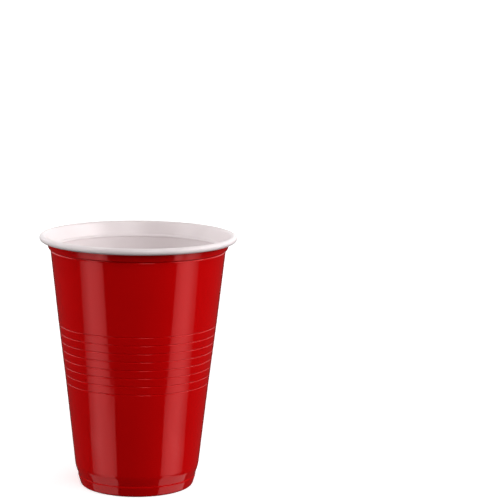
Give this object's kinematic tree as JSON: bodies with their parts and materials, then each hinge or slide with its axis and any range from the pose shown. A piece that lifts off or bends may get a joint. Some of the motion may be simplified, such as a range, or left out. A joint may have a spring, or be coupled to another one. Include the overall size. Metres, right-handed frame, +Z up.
{
  "type": "plastic party cup",
  "caption": "Tapered disposable drinking cup of thin plastic, red outside and white inside, with a rolled white rim, a stepped shoulder, grip rings and a recessed base.",
  "frame": {"origin": "centre of the ring that the cup stands on, level with the table", "axes": "+Z up along the cup's axis; the cup is round, so +X and +Y are free"},
  "size_m": [0.0946, 0.0944, 0.1225],
  "materials": {
    "sheet": "glossy red outside, satin white inside and on the rolled rim"
  },
  "bodies": {
    "root": {"cup": "sheet"}
  },
  "joints": []
}
